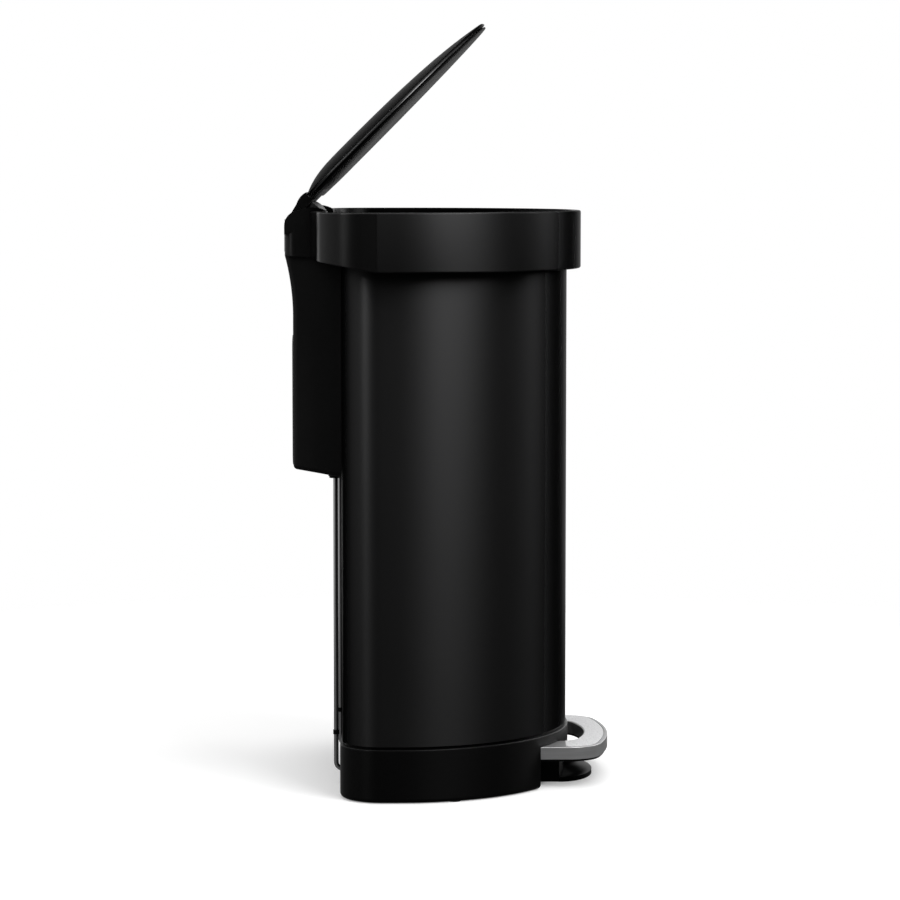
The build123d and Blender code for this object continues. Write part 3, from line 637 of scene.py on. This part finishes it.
def steel_band():
    """Steel cladding of the collar, rolled in at its top and bottom and ended at the seam."""
    round_low = band_low + band_low_round
    round_top = band_top - band_top_round
    piece = d_outline("steel_band", band_radius, band_back, band_corner, round_low)
    carry(
        [(0.0, round_low), (0.0, round_top)]
        + round_corner((-band_top_round, round_top), band_top_round, 0.0, 90.0)[1:]
        + [(-band_flange, band_top), (-band_flange, band_top - band_sheet)]
        + [(-band_sheet, band_top - band_sheet), (-band_sheet, band_low + band_sheet)]
        + [(-band_flange, band_low + band_sheet), (-band_flange, band_low)]
        + round_corner((-band_low_round, round_low), band_low_round, -90.0, 0.0)[:-1]
    )
    bpy.ops.mesh.select_all(action="SELECT")
    bpy.ops.mesh.bisect(
        plane_co=(0, band_end, 0), plane_no=(0, 1, 0), use_fill=True, clear_outer=True, clear_inner=False
    )
    finish_piece(piece, "can", "collar_steel", "collar_band")


def foot_sections():
    """Heights and half sizes of the foot's ovals, from the floor up to its neck."""
    rim = tuple(size - foot_edge for size in foot_rim)
    sections = [(0.0, foot_rim), (foot_rim_height - foot_edge, foot_rim), (foot_rim_height, rim)]
    for step in range(1, foot_steps + 1):
        share = step / foot_steps
        flare = (1.0 - share) ** foot_curve
        height = foot_rim_height + (foot_height - foot_rim_height) * share
        size = tuple(neck + (wide - neck) * flare for neck, wide in zip(foot_neck, rim))
        sections.append((height, size))
    return sections


def flared_foot():
    """Front foot: an oval rim that sweeps up in a hollow curve to its neck, seated against the base."""
    leave_edit()
    bpy.ops.mesh.primitive_circle_add(
        vertices=oval_points, radius=1.0, fill_type="NGON", location=foot_place
    )
    piece = bpy.context.object
    piece.name = "flared_foot"
    piece.scale = (*foot_rim, 1.0)
    bpy.ops.object.transform_apply(location=True, rotation=True, scale=True)
    open_piece(piece)
    sections = foot_sections()
    for (low, wide), (high, narrow) in zip(sections, sections[1:]):
        bpy.ops.mesh.extrude_region_move(TRANSFORM_OT_translate={"value": (0, 0, high - low)})
        ratio = (narrow[0] / wide[0], narrow[1] / wide[1], 1.0)
        bpy.ops.transform.resize(value=ratio, center_override=foot_place)
    face_outwards()
    leave_edit()
    bpy.ops.mesh.primitive_cylinder_add(
        vertices=outline_points, radius=foot_seat_radius, depth=foot_seat_depth, location=(0, arc_y, 0)
    )
    subtract(piece, bpy.context.object)
    finish_piece(piece, "can", "foot_plastic", "front_foot")


# Piece of the pedal

def pedal_tread():
    """Stippled tread: the pedal's pad, its inner edge carried over the rim to the loop's inner wall."""
    piece = nodes["pedal_grip"].copy()
    piece.data = piece.data.copy()
    piece.name = "pedal_tread"
    bpy.context.scene.collection.objects.link(piece)
    open_piece(piece)
    bpy.ops.mesh.remove_doubles(threshold=hair)
    pick(lambda point: math.hypot(point.x, point.y - tread_loop_centre) < tread_loop_radius)
    bpy.ops.transform.resize(value=tread_widen, center_override=(0, tread_rear, 0))
    finish_piece(piece, "pedal", "grip_silver", "pedal_grip")


# Pieces of the lid

def paint_lip_highlight(piece):
    """Gives the lower band of the lid's lip a lighter, glossier finish: a painted highlight along the lid's edge.
    """
    piece.data.materials.append(materials["lid_lip"])
    up = (0.0, math.sin(lid_turn), math.cos(lid_turn))
    for face in piece.data.polygons:
        height = sum((face.center[axis] - hinge_place[axis]) * up[axis] for axis in range(3))
        if height < lid_low + lid_lip_band - hinge_place[2]:
            face.material_index = 1


def pressed_lid():
    """Pressed lid: a lip, a rolled edge and a pillow-shaped crown, then the thickness of its sheet."""
    piece = d_outline("pressed_lid", lid_radius, lid_rear, lid_corner, lid_low)
    first_wall(lid_low, lid_lip)
    for share, smaller in zip(crown_shares, crown_shares[1:]):
        raise_edges(lid_crown * (share ** crown_power - smaller ** crown_power))
        ratio = smaller / share
        bpy.ops.transform.resize(value=(ratio, ratio, 1.0), center_override=(0, crown_centre, 0))
    bpy.ops.mesh.edge_face_add()
    pick(lambda point: abs(point.z - lid_low - lid_lip) < hair)
    bpy.ops.mesh.bevel(offset=lid_edge_round, segments=lid_edge_segments, affect="EDGES")
    raise_lid(piece)
    apply_modifier(piece, "SOLIDIFY", thickness=lid_sheet, offset=-1.0)
    apply_modifier(
        piece,
        "BEVEL",
        width=lid_rim_round,
        segments=lid_rim_segments,
        limit_method="ANGLE",
        angle_limit=lid_rim_angle,
    )
    finish_piece(piece, "lid", "lid_steel", "lid_shell")
    paint_lip_highlight(piece)


def lid_tray():
    """Moulded underside of the lid: a soft-edged plate, a groove above it and the ring it hangs by."""
    size = (lid_radius - tray_inset, lid_rear - tray_inset, lid_corner - tray_inset)
    round_low = tray_low + tray_round
    piece = d_outline("lid_tray", *size, round_low)
    first_wall(round_low, tray_top - tray_low - 2 * tray_round)
    wall_step(-tray_round, tray_round)
    wall_step(tray_round - ring_inset, 0.0)
    wall_step(0.0, ring_top - tray_top)
    wall_step(-ring_wall, 0.0)
    wall_step(0.0, tray_top - ring_top)
    bpy.ops.mesh.edge_face_add()
    pick(lambda point: point.z < round_low + hair)
    wall_step(-tray_round, -tray_round, -step_lift)
    wall_step(tray_round - panel_inset, 0.0, -step_lift)
    wall_step(-panel_slope, -panel_drop, -step_lift)
    bpy.ops.mesh.edge_face_add()
    cut_block(piece, notch_centre, notch_size, hair, z_axis)
    raise_lid(piece)
    finish_piece(piece, "lid", "lid_plastic", "lid_inner")


rolled_body()
steel_band()
flared_foot()
pedal_tread()
pressed_lid()
lid_tray()


# Stage: floor, world, lamps and camera

def ray_masks(tree):
    """Two masks: 1 for rays from the camera, and 1 for rays off shiny and through clear surfaces."""
    path = add(tree, "ShaderNodeLightPath")
    shiny = math_node(
        tree, "MAXIMUM", path.outputs["Is Glossy Ray"], path.outputs["Is Transmission Ray"]
    )
    return path.outputs["Is Camera Ray"], shiny


def floor_masks(tree):
    """Two masks over the floor: the share of glow, none under the bin and a painted wash of light towards the
    backdrop, and the fade towards the edge.
    """
    place = add(tree, "ShaderNodeTexCoord").outputs["Object"]
    split = add(tree, "ShaderNodeSeparateXYZ")
    tree.links.new(place, split.inputs["Vector"])
    reach = add(tree, "ShaderNodeVectorMath", operation="LENGTH")
    tree.links.new(place, reach.inputs[0])
    front = add(tree, "ShaderNodeVectorMath", operation="DISTANCE")
    tree.links.new(place, front.inputs[0])
    front.inputs[1].default_value = (0.0, arc_y, 0.0)
    round_share = math_node(tree, "DIVIDE", front.outputs["Value"], plan_radius)
    back_share = math_node(tree, "DIVIDE", split.outputs["Y"], plan_back)
    outside = smooth_range(tree, math_node(tree, "MAXIMUM", round_share, back_share), *plan_edge)
    # Painted wash of light: the glow's share grows towards the backdrop
    painted_wash = smooth_range(tree, split.outputs["X"], *floor_wash, *floor_share)
    fade = smooth_range(tree, reach.outputs["Value"], *floor_fade)
    return math_node(tree, "MULTIPLY", outside, painted_wash), fade


def pale_floor():
    """Round floor: white to the camera but for shadows, with a painted contact shadow close to the bin, dim in
    shiny surfaces, clear at its edge.
    """
    leave_edit()
    bpy.ops.mesh.primitive_circle_add(
        vertices=oval_points, radius=floor_radius, fill_type="NGON", location=(0, 0, 0)
    )
    floor = bpy.context.object
    floor.name = "floor"
    material = bpy.data.materials.new("pale_floor")
    material.use_nodes = True
    tree = material.node_tree
    tree.nodes.clear()
    matt = add(tree, "ShaderNodeBsdfDiffuse")
    matt.inputs["Color"].default_value = floor_colour
    # Painted contact shadow: the glow dims where a piece is close
    painted_contact_shade = add(tree, "ShaderNodeAmbientOcclusion", samples=floor_painted_shadow_samples)
    painted_contact_shade.inputs["Distance"].default_value = floor_painted_shadow_reach
    glow = add(tree, "ShaderNodeEmission")
    strength = mapped(tree, painted_contact_shade.outputs["AO"], floor_painted_shadow_glow, floor_glow)
    tree.links.new(strength, glow.inputs["Strength"])
    dim = add(tree, "ShaderNodeEmission")
    dim.inputs["Strength"].default_value = floor_gloss
    clear = add(tree, "ShaderNodeBsdfTransparent")
    camera, shiny = ray_masks(tree)
    share, fade = floor_masks(tree)
    seen = math_node(tree, "MULTIPLY", camera, share)
    lit = mix_shaders(tree, seen, matt.outputs["BSDF"], glow.outputs["Emission"])
    whole = mix_shaders(tree, shiny, lit, dim.outputs["Emission"])
    faded = mix_shaders(tree, fade, whole, clear.outputs["BSDF"])
    out = add(tree, "ShaderNodeOutputMaterial")
    tree.links.new(faded, out.inputs["Surface"])
    floor.data.materials.append(material)


def white_world():
    """White to the camera; shiny surfaces see a dim studio, bright above, at its backdrop and behind."""
    world = bpy.data.worlds.new("studio")
    bpy.context.scene.world = world
    world.use_nodes = True
    tree = world.node_tree
    background = tree.nodes["Background"]
    place = add(tree, "ShaderNodeTexCoord")
    split = add(tree, "ShaderNodeSeparateXYZ")
    tree.links.new(place.outputs["Generated"], split.inputs["Vector"])
    sky = smooth_range(tree, split.outputs["Z"], *sky_range, horizon_gloss, sky_gloss)
    backdrop = smooth_range(tree, split.outputs["X"], *backdrop_range, 0.0, backdrop_gloss)
    behind = smooth_range(tree, split.outputs["Y"], *behind_range, 0.0, behind_gloss)
    around = math_node(tree, "MAXIMUM", math_node(tree, "MAXIMUM", sky, backdrop), behind)
    camera, shiny = ray_masks(tree)
    studio = add(tree, "ShaderNodeMix", data_type="FLOAT")
    tree.links.new(shiny, studio.inputs["Factor"])
    studio.inputs["A"].default_value = fill_light
    tree.links.new(around, studio.inputs["B"])
    level = math_node(tree, "MAXIMUM", camera, studio.outputs["Result"])
    background.inputs["Color"].default_value = (1.0, 1.0, 1.0, 1.0)
    tree.links.new(level, background.inputs["Strength"])


def soft_lamp(name, turn, rise, distance, width, height, watts, on_matt=True):
    """Area lamp aimed at the bin; turn is counted to the right of the camera."""
    turn = math.radians(turn)
    rise = math.radians(rise)
    data = bpy.data.lights.new(name, "AREA")
    data.shape = "RECTANGLE"
    data.size = width
    data.size_y = height
    data.energy = watts
    lamp = bpy.data.objects.new(name, data)
    bpy.context.scene.collection.objects.link(lamp)
    flat = distance * math.cos(rise)
    lamp.location = (
        -flat * math.cos(turn),
        -flat * math.sin(turn),
        aim_height + distance * math.sin(rise),
    )
    lamp.rotation_euler = (math.pi / 2 - rise, 0, turn - math.pi / 2)
    lamp.visible_diffuse = on_matt


def photo_camera():
    """Camera at -X that looks along +X, tilted down."""
    data = bpy.data.cameras.new("photo_camera")
    data.lens = camera_lens
    data.sensor_width = sensor_width
    camera = bpy.data.objects.new("photo_camera", data)
    bpy.context.scene.collection.objects.link(camera)
    camera.location = camera_place
    camera.rotation_euler = (math.pi / 2 - camera_tilt, 0, -math.pi / 2)
    bpy.context.scene.camera = camera


pale_floor()
white_world()
for softbox in softboxes:
    soft_lamp(*softbox)
for strip in strips:
    soft_lamp(*strip, on_matt=False)
photo_camera()
bpy.context.scene.view_settings.view_transform = "Standard"
